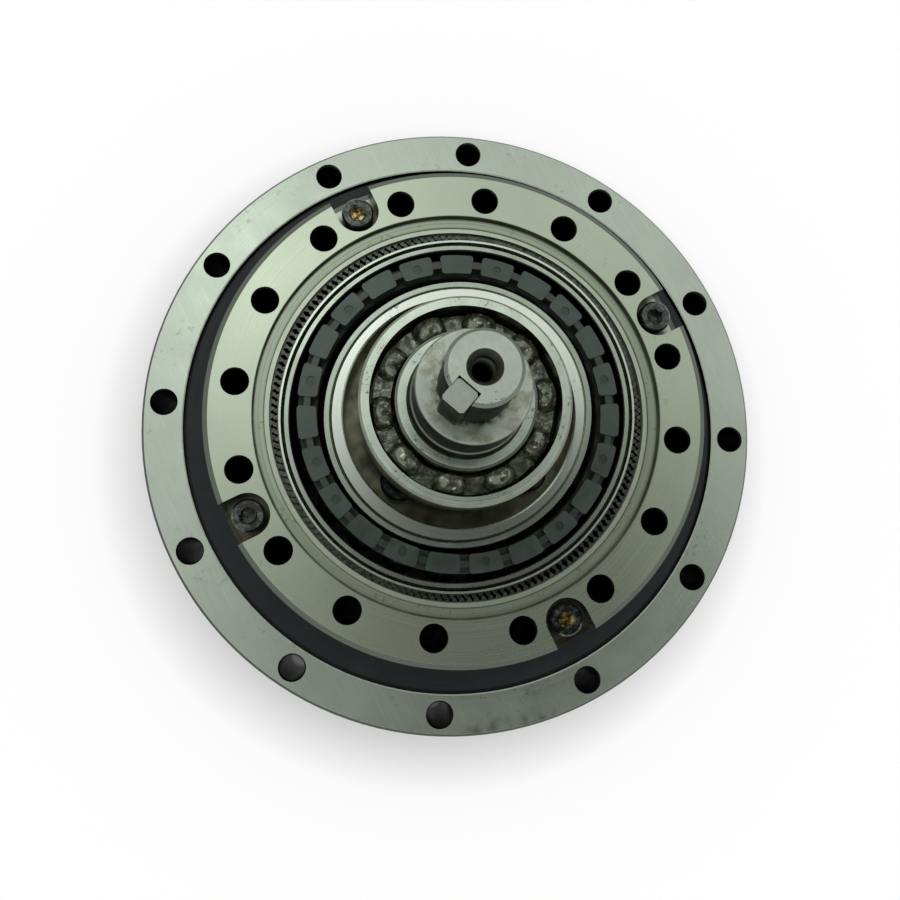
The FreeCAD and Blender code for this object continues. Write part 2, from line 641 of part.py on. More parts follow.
def input_shaft():
    seat_r = FRONT_BORE_D / 2 - SEAT
    shoulder_r = seat_r - SHOULDER_STEP
    tail_r = REAR_BORE_D / 2 - SEAT
    blank = turned([
        (0, SHAFT_LOW, 0), (tail_r, SHAFT_LOW, SHAFT_EDGE), (tail_r, REAR_TOP, 0),
        (NECK_D / 2, REAR_TOP, SHAFT_EDGE), (NECK_D / 2, COLLAR_LOW, 0),
        (COLLAR_R, COLLAR_LOW, SHAFT_EDGE), (COLLAR_R, PLUG_LOW, SHAFT_EDGE),
        (seat_r, PLUG_LOW, 0), (seat_r, SEAT_TOP, SHOULDER_EDGE), (shoulder_r, SEAT_TOP, 0),
        (shoulder_r, SHOULDER_TOP, SHOULDER_EDGE), (END_D / 2, SHOULDER_TOP, 0),
        (END_D / 2, SHAFT_TOP, SHAFT_EDGE), (0, SHAFT_TOP, 0)])
    mouth_h = (END_MOUTH_D - END_HOLE_D) / 2 / math.tan(math.radians(END_CONE_ANGLE / 2))
    end_hole = turned([
        (0, SHAFT_TOP - END_HOLE_DEPTH, 0), (END_HOLE_D / 2, SHAFT_TOP - END_HOLE_DEPTH, 0),
        (END_HOLE_D / 2, SHAFT_TOP - mouth_h, 0), (END_MOUTH_D / 2, SHAFT_TOP, 0), (0, SHAFT_TOP, 0)])
    taps_low = RECESS_Z - MIDDLE_L - SEAT
    taps = around(cylinder(MIDDLE_D + 2 * SEAT, taps_low, PLUG_LOW, PLUG_SCREW_R), PLUG_SCREWS, WAVE_ANGLE)
    return cut_all(blank, [end_hole, turn(keyway(), WAVE_ANGLE + HALF_TURN)] + taps)


def ball_bearing(name, bore_d, width, inner_wall, ball_d, outer_wall, count, start, z_low):
    """Open deep groove bearing: two rings, balls and a ribbon cage."""
    land_in = bore_d / 2 + inner_wall
    land_out = land_in + ball_d - 2 * GROOVE_DEPTH
    pitch_r = (land_in + land_out) / 2
    pocket_d = ball_d + 2 * RUN
    z_high = z_low + width
    z_mid = z_low + width / 2
    track = ball_track(ball_d, pitch_r, z_mid, RUN)
    inner = turned([
        (bore_d / 2, z_low, RING_EDGE), (land_in, z_low, 0),
        (land_in, z_high, 0), (bore_d / 2, z_high, RING_EDGE)])
    outer = ring(land_out, land_out + outer_wall, z_low, z_high, RING_EDGE)
    band_in = land_in + RIBBON_GAP
    band_out = land_out - RIBBON_GAP
    band = ring(band_in, band_out, z_low, z_high)
    sheet = ring(band_in, band_out, z_mid - RIBBON_T, z_mid + RIBBON_T)
    cups = ball_ring(pocket_d + 2 * RIBBON_T, pitch_r, z_mid, count, start)
    pockets = ball_ring(pocket_d, pitch_r, z_mid, count, start)
    ribbon = cut_all(sheet.fuse(cups).common(band), pockets)
    save(name + "_inner_ring", [inner.cut(track)])
    save(name + "_outer_ring", [outer.cut(track)])
    save(name + "_balls", ball_ring(ball_d, pitch_r, z_mid, count, start))
    save(name + "_cage", [ribbon])


# Write every node
def main():
    os.makedirs("parts", exist_ok=True)
    outer_ring, plug = outer_ring_and_plug()
    save("outer_ring", [outer_ring])
    save("filling_plug", [plug])
    save("filling_plug_pin", [fill_pin(0)])
    save("oil_seal", [oil_seal()])
    save("bearing_inner_ring", [bearing_inner_ring()])
    save("cross_rollers", rollers())
    save("roller_spacers", roller_spacers())
    save("flexspline", [flexspline()])
    flat = flat_screw_body(0).cut(hexagon(FLAT_SOCKET, FLAT_SINK, FLAT_SOCKET_DEPTH))
    save("flange_screws", place(flat, CASE_HOLE_R, FLAT_SCREWS, FLAT_ANGLE))
    save("circular_spline", [circular_spline()])
    pocket_floor = OUTPUT_TOP - POCKET_DEPTH
    small = cap_screw(SMALL_D, SMALL_HEAD_D, SMALL_HEAD_H, SMALL_SOCKET, SMALL_L, pocket_floor)
    save("assembly_screws", place(small, POCKET_R, POCKETS, 0))
    outer_race, inner_race = wave_races()
    save("wave_outer_race", [outer_race])
    save("wave_inner_race", [inner_race])
    save("wave_bearing_balls", ball_ring(WAVE_BALL_D, BALL_CIRCLE_R, BALL_Z, WAVE_BALLS, CAGE_ANGLE))
    save("wave_bearing_cage", [wave_cage()])
    save("wave_plug", [wave_plug()])
    middle = cap_screw(MIDDLE_D, MIDDLE_HEAD_D, MIDDLE_HEAD_H, MIDDLE_SOCKET, MIDDLE_L, RECESS_Z)
    save("wave_plug_screws", place(middle, PLUG_SCREW_R, PLUG_SCREWS, WAVE_ANGLE))
    save("input_shaft", [input_shaft()])
    save("shaft_key", [shaft_key()])
    save("spacer_sleeve", [ring(FRONT_BORE_D / 2, SLEEVE_R, RECESS_Z, FRONT_LOW)])
    ball_bearing("front_bearing", FRONT_BORE_D, FRONT_W, FRONT_INNER_WALL, FRONT_BALL_D,
                 FRONT_OUTER_WALL, FRONT_BALLS, FRONT_BALL_ANGLE, FRONT_LOW)
    ball_bearing("rear_bearing", REAR_BORE_D, REAR_W, REAR_INNER_WALL, REAR_BALL_D,
                 REAR_OUTER_WALL, REAR_BALLS, REAR_BALL_ANGLE, REAR_LOW)


main()
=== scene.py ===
"""Studio scene of the robot gear reducer: finishes, small details, light and camera."""
import bmesh
import bpy
import math
from mathutils import Matrix, Vector


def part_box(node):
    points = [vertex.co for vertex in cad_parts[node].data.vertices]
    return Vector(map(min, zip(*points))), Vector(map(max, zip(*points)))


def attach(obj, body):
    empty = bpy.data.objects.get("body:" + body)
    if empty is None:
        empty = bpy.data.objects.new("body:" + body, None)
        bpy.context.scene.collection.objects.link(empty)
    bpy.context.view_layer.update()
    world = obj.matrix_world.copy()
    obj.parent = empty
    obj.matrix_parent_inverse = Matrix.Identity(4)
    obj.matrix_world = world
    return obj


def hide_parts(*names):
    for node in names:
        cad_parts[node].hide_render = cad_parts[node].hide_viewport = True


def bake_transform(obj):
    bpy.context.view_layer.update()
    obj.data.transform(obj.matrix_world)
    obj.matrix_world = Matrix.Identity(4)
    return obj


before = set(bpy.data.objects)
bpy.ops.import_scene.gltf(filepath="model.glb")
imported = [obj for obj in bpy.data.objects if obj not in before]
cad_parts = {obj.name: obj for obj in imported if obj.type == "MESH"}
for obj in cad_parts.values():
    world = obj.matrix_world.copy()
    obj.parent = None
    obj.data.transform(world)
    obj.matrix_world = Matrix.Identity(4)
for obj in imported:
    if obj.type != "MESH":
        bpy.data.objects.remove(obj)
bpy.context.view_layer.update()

MM = 0.001


def top_of(node):
    """Highest level of a CAD node, in millimetres."""
    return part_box(node)[1].z / MM


def reach_of(node):
    """Radius of a round CAD node, in millimetres."""
    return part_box(node)[1].x / MM


def radians(*angles):
    """Angles given in degrees, as radians."""
    return tuple(math.radians(angle) for angle in angles)


def tone(red, green, blue):
    """An opaque colour, linear."""
    return (red, green, blue, 1.0)


# Sizes that the finishes follow, in millimetres
CHAMFER = 0.4
RING_RADIUS = reach_of("outer_ring")
SEAL_RADIUS = reach_of("oil_seal")
OUTPUT_RADIUS = reach_of("circular_spline")
BEVEL_WIDTH = 0.7
BEVEL_RADIUS = OUTPUT_RADIUS - BEVEL_WIDTH
BAND_RADIUS = 28.42
LEDGE_RADIUS = 26.87
TOOTH_RADIUS = 26.18
TOOTH_ZONE = 10.0
POCKET_DEPTH = 3.0
BEARING_EDGE = 0.35
SHAFT_SEAT = 39.5
SHAFT_END = top_of("input_shaft")
END_LENGTH = 9.5
SHAFT_FOOT = SHAFT_END - END_LENGTH
SHOULDER_EDGE = 0.2
END_EDGE_RADIUS = 4.05
END_MOUTH_RADIUS = 2.1
CORNER_RADII = (3.0, 5.0)

# Places of single stains, of bright pocket floors and of amber grease with a painted glint
SMUDGE_ANGLES = radians(-115.0, -97.0)
SMUDGE_RADII = (42.6, 43.8)
BRIGHT_FLOOR_ANGLES = radians(-45.0, 135.0)
BRIGHT_FLOOR_RADII = (32.8, 33.8)
AMBER_ANGLES = radians(87.5, 92.5)
AMBER_RADII = (30.65, 33.35)

# Shares and ranges that several finishes have in common
GRAIN_RANGE = (0.3, 0.7)
CLOUD_RANGE = (0.38, 0.66)
WALL_RANGE = (0.45, 0.80)
SIDE_SHARE = 0.8
FINE_RELIEF = 0.0004
GROUND_GRAIN = 0.35
TURNED_GRAIN = 0.3
SCRATCH_SOFT = 0.05
SPOT_SOFT = 0.06
PATCH_SOFT = 0.12

# Colours of bare steel, with painted shade for edges, walls and holes and a painted highlight for the rim by
# the seal
WHITE = tone(1.0, 1.0, 1.0)
PALE = tone(0.52, 0.605, 0.50)
PALE_WARM = tone(0.52, 0.60, 0.455)
SIDE = tone(0.47, 0.505, 0.46)
GREY = tone(0.38, 0.445, 0.355)
DULL = tone(0.26, 0.295, 0.215)
BRIGHT = tone(0.67, 0.775, 0.64)
LIP_HIGHLIGHT = tone(0.78, 0.83, 0.74)
BAND_DARK = tone(0.28, 0.335, 0.245)
BAND_LIGHT = tone(0.405, 0.475, 0.36)
BEARING_FACE = tone(0.76, 0.88, 0.725)
BALL_CLEAN = tone(0.42, 0.46, 0.38)
PLUG_FACE = tone(0.87, 0.955, 0.83)
SHAFT_LIGHT = tone(0.60, 0.68, 0.575)
SHAFT_DULL = tone(0.40, 0.455, 0.37)
SHAFT_EDGE_SHADE = tone(0.15, 0.17, 0.135)
SHAFT_WALL_SHADE_LIGHT = tone(0.125, 0.138, 0.115)
SHAFT_WALL_SHADE_DARK = tone(0.080, 0.089, 0.073)
END_HOLE_SHADE = tone(0.21, 0.23, 0.185)
KEY_PALE = tone(0.50, 0.555, 0.49)
KEY_DULL = tone(0.40, 0.45, 0.385)
KEY_WALL_SHADE = tone(0.17, 0.19, 0.155)

# Colours of oil and grease, several also standing for painted shade, of painted shade on edges, walls,
# bores, holes and teeth, and of painted glints
OIL_AND_SHADE_BROWN = tone(0.075, 0.066, 0.032)
OIL_AND_SHADE_BLACK = tone(0.012, 0.014, 0.012)
OIL_AND_SHADE_GREY = tone(0.085, 0.098, 0.078)
OLIVE = tone(0.16, 0.16, 0.085)
AMBER_GREASE_GLINT = tone(0.70, 0.50, 0.15)
STAIN = tone(0.24, 0.23, 0.12)
STEP_SHADE = tone(0.100, 0.108, 0.072)
RING_EDGE_SHADE = tone(0.070, 0.080, 0.066)
BEVEL_SHADE = tone(0.095, 0.110, 0.094)
BORE_SHADE = tone(0.040, 0.048, 0.044)
HOLE_SHADE = tone(0.006, 0.009, 0.011)
TOOTH_OIL_AND_SHADE_DARK = tone(0.045, 0.051, 0.040)
TOOTH_OIL_AND_SHADE_LIGHT = tone(0.125, 0.143, 0.113)
RACE_WALL_SHADE = tone(0.034, 0.040, 0.034)
BEARING_WALL_OIL_AND_SHADE = tone(0.12, 0.117, 0.076)
BEARING_WALL_SHADE = tone(0.26, 0.25, 0.165)
BALL_GREASE = tone(0.075, 0.075, 0.045)
CUP_LIGHT = tone(0.24, 0.275, 0.205)
CUP_DARK = tone(0.062, 0.071, 0.052)
RIBBON_LIGHT = tone(0.30, 0.345, 0.26)
RIBBON_DARK = tone(0.085, 0.098, 0.073)
GLINT = tone(0.55, 0.57, 0.44)
RECESS_OIL_AND_SHADE_LIGHT = tone(0.205, 0.205, 0.138)
RECESS_OIL_AND_SHADE_DARK = tone(0.055, 0.062, 0.046)

# Colours of blackened screws, polymer and rubber, with painted shade for the cage
SCREW_BLACK = tone(0.020, 0.024, 0.022)
SCREW_WORN = tone(0.060, 0.070, 0.062)
HEAD_BLACK = tone(0.045, 0.054, 0.047)
HEAD_WORN = tone(0.150, 0.175, 0.150)
CAGE_LIGHT = tone(0.034, 0.051, 0.040)
CAGE_DARK = tone(0.025, 0.037, 0.030)
CAGE_OIL = tone(0.019, 0.019, 0.013)
CAGE_SUNK_SHADE = tone(0.006, 0.008, 0.007)
CAGE_DEEP_SHADE = tone(0.014, 0.018, 0.015)
SEAL_BLACK = tone(0.004, 0.008, 0.009)
SEAL_BLOOM = tone(0.009, 0.015, 0.016)
SPACER_LIGHT = tone(0.30, 0.24, 0.14)
SPACER_DARK = tone(0.22, 0.17, 0.09)

# Tints of the gloss
DULL_GLANCE = tone(0.10, 0.11, 0.09)
OILY_GLANCE = tone(0.40, 0.40, 0.32)
GREEN_GLANCE = tone(0.84, 1.0, 0.90)


# Short ways to build nodes
class Nodes:
    """A node tree that grows by short calls."""

    def __init__(self, tree):
        self.tree = tree

    def put(self, socket, value):
        """Link a socket or set its value."""
        if isinstance(value, bpy.types.NodeSocket):
            self.tree.links.new(value, socket)
        else:
            socket.default_value = value

    def add(self, kind, inputs=None, **settings):
        """A new node with its settings and inputs."""
        node = self.tree.nodes.new(kind)
        for key, value in settings.items():
            setattr(node, key, value)
        for key, value in (inputs or {}).items():
            self.put(node.inputs[key], value)
        return node

    def math(self, operation, first, second=0.0):
        return self.add("ShaderNodeMath", {0: first, 1: second}, operation=operation).outputs[0]

    def times(self, *values):
        product = values[0]
        for value in values[1:]:
            product = self.math("MULTIPLY", product, value)
        return product

    def spread(self, value, low, high, to_low=0.0, to_high=1.0, **settings):
        """A value mapped from one range to another, held at its ends."""
        inputs = {"Value": value, "From Min": low, "From Max": high, "To Min": to_low, "To Max": to_high}
        return self.add("ShaderNodeMapRange", inputs, **settings).outputs["Result"]

    def scaled(self, share, to_low, to_high):
        """A share of nought to one mapped to another range."""
        return self.spread(share, 0.0, 1.0, to_low, to_high)

    def fall(self, value, low, high):
        """One below low, nought above high."""
        return self.spread(value, low, high, 1.0, 0.0)

    def band(self, value, low, high, soft):
        """One inside low..high, nought outside."""
        rise = self.spread(value, low - soft, low + soft)
        return self.times(rise, self.fall(value, high - soft, high + soft))

    def mix(self, share, first, second):
        """The first colour turning into the second."""
        return self.add("ShaderNodeMix", {0: share, 6: first, 7: second}, data_type="RGBA").outputs[2]

    def blend(self, share, first, second):
        """Like mix, for plain numbers."""
        return self.add("ShaderNodeMix", {0: share, 2: first, 3: second}, data_type="FLOAT").outputs[0]

    def lay(self, below, above, *shares):
        """One colour over another, as strong as its shares multiplied."""
        return self.mix(self.times(*shares), below, above)


class Finish(Nodes):
    """One procedural material. Lengths in its textures are millimetres."""

    def __init__(self, name):
        self.material = bpy.data.materials.new(name)
        self.material.use_nodes = True
        super().__init__(self.material.node_tree)
        self.shader = self.tree.nodes["Principled BSDF"]
        place = self.add("ShaderNodeTexCoord").outputs["Object"]
        to_mm = self.add("ShaderNodeVectorMath", {0: place, 3: 1 / MM}, operation="SCALE")
        self.place = to_mm.outputs[0]
        axes = self.add("ShaderNodeSeparateXYZ", {0: self.place})
        self.height = axes.outputs[2]
        flat = self.add("ShaderNodeVectorMath", {0: self.place, 1: (1, 1, 0)}, operation="MULTIPLY")
        length = self.add("ShaderNodeVectorMath", {0: flat.outputs[0]}, operation="LENGTH")
        self.radius = length.outputs["Value"]
        self.angle = self.math("ARCTAN2", axes.outputs[1], axes.outputs[0])
        normal = self.add("ShaderNodeNewGeometry").outputs["True Normal"]
        facing = self.add("ShaderNodeSeparateXYZ", {0: normal}).outputs[2]
        self.walls = self.fall(self.math("ABSOLUTE", facing), *WALL_RANGE)
        self.flats = self.math("SUBTRACT", 1.0, self.walls)

    def noise(self, size, detail=3.0, rough=0.5, vector=None):
        """Noise whose features are about size millimetres wide."""
        inputs = {"Vector": vector or self.place, "Scale": 1 / size, "Detail": detail, "Roughness": rough}
        return self.add("ShaderNodeTexNoise", inputs).outputs["Fac"]

    def patches(self, size, low, high, detail=4.0, rough=0.6):
        """Patches of noise, nought where it is below low and one above high."""
        return self.spread(self.noise(size, detail, rough), low, high)

    def clouds(self, size):
        """Soft even patches."""
        return self.patches(size, *CLOUD_RANGE)

    def rings(self, pitch, sweep=0.4):
        """Fine turning marks that run round the axis."""
        across = self.math("DIVIDE", self.radius, pitch)
        along = self.math("MULTIPLY", self.angle, sweep)
        up = self.math("DIVIDE", self.height, pitch)
        vector = self.add("ShaderNodeCombineXYZ", {0: across, 1: along, 2: up}).outputs[0]
        return self.noise(1.0, detail=2.0, rough=0.6, vector=vector)

    def turned(self, grain, smooth, rough):
        """Roughness that follows the turning marks."""
        return self.spread(grain, *GRAIN_RANGE, smooth, rough)

    def scratches(self, width, length, turn, rarity):
        """Thin straight marks in one direction."""
        scale = (1 / width, 1 / length, 1 / length)
        inputs = {"Vector": self.place, "Rotation": (0, 0, turn), "Scale": scale}
        vector = self.add("ShaderNodeMapping", inputs).outputs[0]
        marks = self.noise(1.0, detail=1.0, rough=0.4, vector=vector)
        return self.spread(marks, rarity, rarity + SCRATCH_SOFT)

    def spots(self, size, rarity, patch, patch_rarity):
        """Small spots gathered in patches."""
        spots = self.patches(size, rarity, rarity + SPOT_SOFT, detail=2.0, rough=0.5)
        patches = self.patches(patch, patch_rarity, patch_rarity + PATCH_SOFT, detail=2.0, rough=0.5)
        return self.times(spots, patches)

    def bump(self, height, depth):
        """Relief, depth in millimetres."""
        node = self.add("ShaderNodeBump", {"Height": height, "Distance": depth * MM, "Strength": 1.0})
        self.put(self.shader.inputs["Normal"], node.outputs[0])

    def round_grain(self, amount):
        """Gloss drawn out along turning marks about the axis."""
        tangent = self.add("ShaderNodeTangent", direction_type="RADIAL", axis="Z")
        self.put(self.shader.inputs["Tangent"], tangent.outputs[0])
        self.shader.inputs["Anisotropic"].default_value = amount

    def done(self, colour, roughness, metallic, shine=0.5, glance=WHITE):
        """Set the main values; glance tints the gloss, on metal only where it is seen at a low angle."""
        self.put(self.shader.inputs["Base Color"], colour)
        self.put(self.shader.inputs["Roughness"], roughness)
        self.put(self.shader.inputs["Metallic"], metallic)
        self.shader.inputs["Specular IOR Level"].default_value = shine
        self.shader.inputs["Specular Tint"].default_value = glance
        return self.material


# Finishes
def ring_steel():
    """Ground outer ring: pale, with faint scratches, grey clouds, dark spots and one soft stain, painted
    shade on its outer chamfer's edge and inner walls, and a painted highlight along the rim by the seal.
    """
    f = Finish("ring_steel")
    clouds = f.clouds(14.0)
    colour = f.lay(PALE, GREY, clouds, 0.30)
    lines = f.math("MAXIMUM", f.scratches(width=0.12, length=9.0, turn=0.7, rarity=0.63),
                   f.scratches(width=0.10, length=7.0, turn=2.2, rarity=0.65))
    colour = f.lay(colour, BRIGHT, lines, f.flats, 0.30)
    colour = f.lay(colour, DULL, f.spots(size=0.8, rarity=0.60, patch=8.0, patch_rarity=0.53), 0.5)
    smudge = f.times(f.band(f.angle, *SMUDGE_ANGLES, 0.03), f.spread(f.radius, *SMUDGE_RADII),
                     f.patches(1.6, 0.42, 0.68, detail=2.0, rough=0.5))
    colour = f.lay(colour, OIL_AND_SHADE_GREY, smudge, f.flats, 0.6)
    colour = f.lay(colour, SIDE, f.walls, SIDE_SHARE)
    # painted shade: a dark line along the outer chamfer's edge
    edge_radius = RING_RADIUS - CHAMFER
    edge_level = top_of("outer_ring") - CHAMFER
    edge = f.times(f.spread(f.radius, edge_radius - 0.02, edge_radius + 0.04),
                   f.spread(f.height, edge_level - 0.10, edge_level - 0.02))
    colour = f.lay(colour, RING_EDGE_SHADE, edge)
    # oil and painted shade on the inner walls and the walls of the holes
    inside = f.times(f.walls, f.fall(f.radius, edge_radius, edge_radius + 0.2))
    colour = f.lay(colour, f.mix(f.clouds(2.0), OIL_AND_SHADE_GREY, OIL_AND_SHADE_BLACK), inside)
    # painted highlight: a pale, less metallic line on the face by the seal
    lip_highlight = f.times(f.flats, f.band(f.radius, SEAL_RADIUS - 0.10, SEAL_RADIUS + 0.17, 0.02))
    colour = f.lay(colour, LIP_HIGHLIGHT, lip_highlight)
    grain = f.rings(0.10)
    rough = f.math("ADD", f.turned(grain, 0.25, 0.29), f.times(clouds, 0.06))
    f.bump(grain, FINE_RELIEF)
    f.round_grain(GROUND_GRAIN)
    return f.done(colour, rough, f.scaled(lip_highlight, 1.0, 0.3))


def spline_steel():
    """Output ring: ground face, duller sunk band, bright ledge, pockets and holes, with oil and painted
    shade on its teeth and pocket floors, and painted shade on its bevel, step, bore walls and holes.
    """
    f = Finish("spline_steel")
    face = f.lay(PALE_WARM, GREY, f.clouds(11.0), 0.28)
    face = f.lay(face, DULL, f.spots(size=0.8, rarity=0.62, patch=8.0, patch_rarity=0.60), 0.45)
    # painted shade: the outer bevel darkened, with a dark line at its inner edge
    face = f.lay(face, BEVEL_SHADE, f.flats, f.spread(f.radius, BEVEL_RADIUS, BEVEL_RADIUS + 0.05), 0.9)
    face = f.lay(face, OIL_AND_SHADE_GREY, f.band(f.radius, BEVEL_RADIUS, BEVEL_RADIUS + 0.08, 0.04), 0.7)
    band = f.mix(f.spread(f.rings(0.22), 0.35, 0.65), BAND_DARK, BAND_LIGHT)
    band = f.lay(band, OLIVE, f.spots(size=0.5, rarity=0.58, patch=4.0, patch_rarity=0.50), 0.5)
    outside = f.spread(f.radius, BAND_RADIUS - 0.03, BAND_RADIUS + 0.03)
    colour = f.mix(outside, band, face)
    # painted shade: a dark line at the step down to the sunk band
    step_shade = f.band(f.radius, BAND_RADIUS - 0.22, BAND_RADIUS + 0.04, 0.08)
    colour = f.lay(colour, STEP_SHADE, step_shade, f.spread(f.noise(6.0), 0.3, 0.6, 0.55, 1.0))
    ledge = f.fall(f.radius, LEDGE_RADIUS - 0.03, LEDGE_RADIUS + 0.03)
    colour = f.lay(colour, f.lay(PALE_WARM, GREY, f.clouds(3.0), 0.4), ledge)
    colour = f.lay(colour, OIL_AND_SHADE_BROWN, f.band(f.radius, LEDGE_RADIUS - 0.02, LEDGE_RADIUS + 0.08, 0.04), 0.8)
    # oil and painted shade: dark teeth
    teeth = f.fall(f.radius, TOOTH_RADIUS - 0.02, TOOTH_RADIUS + 0.02)
    colour = f.lay(colour, f.mix(f.clouds(0.8), TOOTH_OIL_AND_SHADE_LIGHT, TOOTH_OIL_AND_SHADE_DARK), teeth)
    colour = f.lay(colour, SIDE, f.walls, SIDE_SHARE)
    # painted shade with oil on the walls of the holes, pockets and teeth
    bored = f.fall(f.radius, OUTPUT_RADIUS - 0.6, OUTPUT_RADIUS - 0.4)
    colour = f.lay(colour, f.mix(f.clouds(2.0), BORE_SHADE, OIL_AND_SHADE_BLACK), f.walls, bored)
    # painted shade on the wall of the step
    step = f.band(f.radius, BAND_RADIUS - 0.1, BAND_RADIUS + 0.1, 0.04)
    colour = f.lay(colour, STEP_SHADE, f.walls, step)
    # oil and painted shade on the pocket floors, left bright in two places
    pocket_floor = top_of("circular_spline") - POCKET_DEPTH
    low = f.times(f.flats, outside, f.fall(f.height, pocket_floor + 0.2, pocket_floor + 0.8))
    bright_floor = f.times(f.spread(f.radius, *BRIGHT_FLOOR_RADII), f.band(f.angle, *BRIGHT_FLOOR_ANGLES, 0.1))
    oil = f.mix(f.clouds(1.5), OIL_AND_SHADE_BROWN, OIL_AND_SHADE_BLACK)
    colour = f.lay(colour, oil, low, f.scaled(bright_floor, 0.92, 0.12))
    # painted shade: black in the holes below the pocket floors
    deep = f.times(outside, bored, f.fall(f.height, pocket_floor - 0.8, pocket_floor - 0.2))
    colour = f.lay(colour, HOLE_SHADE, deep)
    grain = f.rings(0.09)
    rough = f.blend(outside, 0.34, f.turned(grain, 0.26, 0.30))
    f.bump(grain, FINE_RELIEF)
    f.round_grain(GROUND_GRAIN)
    return f.done(colour, rough, 1.0)


def flex_steel():
    """Flexspline: bright lapped rim, teeth darkened with oil and painted shade, fine turned cup and flange.
    """
    f = Finish("flex_steel")
    top = top_of("flexspline")
    body = f.lay(PALE, GREY, f.clouds(10.0), 0.5)
    body = f.lay(body, OLIVE, f.spots(size=1.2, rarity=0.60, patch=12.0, patch_rarity=0.55), 0.5)
    body = f.lay(body, SIDE, f.walls, SIDE_SHARE)
    front = f.spread(f.height, top - TOOTH_ZONE, top - TOOTH_ZONE + 0.5)
    # oil and painted shade on the teeth, and painted shade on their walls
    colour = f.mix(front, body, f.mix(f.clouds(0.8), TOOTH_OIL_AND_SHADE_LIGHT, TOOTH_OIL_AND_SHADE_DARK))
    colour = f.lay(colour, OIL_AND_SHADE_BLACK, front, f.walls)
    colour = f.lay(colour, BRIGHT, f.flats, f.spread(f.height, top - 0.06, top - 0.02))
    grain = f.rings(0.12)
    f.bump(grain, 0.002)
    f.round_grain(TURNED_GRAIN)
    return f.done(colour, f.turned(grain, 0.20, 0.32), 1.0)


def race_steel(name):
    """Polished bearing race with a thin uneven oil film, and painted shade on its walls."""
    f = Finish(name)
    film = f.patches(4.0, 0.48, 0.70)
    grain = f.rings(0.06)
    colour = f.mix(f.spread(grain, 0.35, 0.65, 0.0, 0.7), PALE, GREY)
    colour = f.lay(colour, OLIVE, film, 0.30)
    # painted shade on the walls
    colour = f.lay(colour, RACE_WALL_SHADE, f.walls)
    rough = f.math("ADD", f.turned(grain, 0.18, 0.26), f.times(film, 0.06))
    f.bump(grain, 0.001)
    f.round_grain(TURNED_GRAIN)
    return f.done(colour, rough, 1.0)


def bearing_steel(node):
    """Shaft bearing ring: ground faces with dark specks, painted shade on its broken edge, and brown oil
    with painted shade on its walls.
    """
    f = Finish(node + "_steel")
    face = f.lay(BEARING_FACE, GREY, f.clouds(3.0), 0.35)
    face = f.lay(face, OIL_AND_SHADE_GREY, f.spots(size=0.4, rarity=0.60, patch=3.0, patch_rarity=0.52), 0.8)
    # painted shade: a dark line along the outer broken edge
    edge_radius = reach_of(node) - BEARING_EDGE
    face = f.lay(face, OIL_AND_SHADE_GREY, f.spread(f.radius, edge_radius - 0.02, edge_radius + 0.03), 0.8)
    # brown oil with painted shade on the walls
    wall = f.mix(f.patches(5.0, 0.38, 0.68), BEARING_WALL_OIL_AND_SHADE, BEARING_WALL_SHADE)
    grain = f.rings(0.08)
    rough = f.blend(f.walls, f.turned(grain, 0.20, 0.32), 0.30)
    f.bump(grain, 0.0015)
    f.round_grain(TURNED_GRAIN)
    return f.done(f.mix(f.walls, face, wall), rough, 1.0)


def ball_steel():
    """Balls and rollers with smears of old grease."""
    f = Finish("ball_steel")
    smear = f.patches(1.5, 0.40, 0.58)
    f.bump(smear, 0.02)
    return f.done(f.mix(smear, BALL_CLEAN, BALL_GREASE), f.scaled(smear, 0.14, 0.40), 1.0)


def ribbon_steel(node):
    """Pressed ribbon cage under mottled olive grease, with small painted glints, most on its cups."""
    f = Finish(node + "_steel")
    low, high = (corner.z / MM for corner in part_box(node))
    cups = f.spread(f.height, (low + high) / 2 + 0.4, high)
    smear = f.patches(1.3, 0.40, 0.58)
    colour = f.mix(cups, f.mix(smear, RIBBON_LIGHT, RIBBON_DARK), f.mix(smear, CUP_LIGHT, CUP_DARK))
    # painted glints: small bright spots, most on the cups
    glints = f.patches(0.7, 0.60, 0.68, detail=2.0, rough=0.5)
    colour = f.lay(colour, GLINT, f.scaled(cups, 0.5, 1.0), glints)
    f.bump(f.noise(0.8, detail=2.0), 0.05)
    return f.done(colour, f.scaled(smear, 0.10, 0.24), 0.7, glance=OILY_GLANCE)


def plug_steel():
    """Wave generator plug: bright front face, brown oil with painted shade in its deep recess."""
    f = Finish("plug_steel")
    top = top_of("wave_plug")
    grain = f.rings(0.07)
    face = f.mix(f.spread(grain, 0.35, 0.65, 0.0, 0.25), PLUG_FACE, BRIGHT)
    face = f.lay(face, OLIVE, f.spots(size=0.7, rarity=0.60, patch=5.0, patch_rarity=0.56), 0.6)
    # brown oil with painted shade below the front face
    sunk = f.fall(f.height, top - 0.3, top - 0.1)
    colour = f.mix(sunk, face, f.mix(f.clouds(4.0), RECESS_OIL_AND_SHADE_LIGHT, RECESS_OIL_AND_SHADE_DARK))
    rough = f.blend(sunk, f.turned(grain, 0.14, 0.21), 0.22)
    f.bump(grain, 0.001)
    f.round_grain(TURNED_GRAIN)
    return f.done(colour, rough, 1.0)


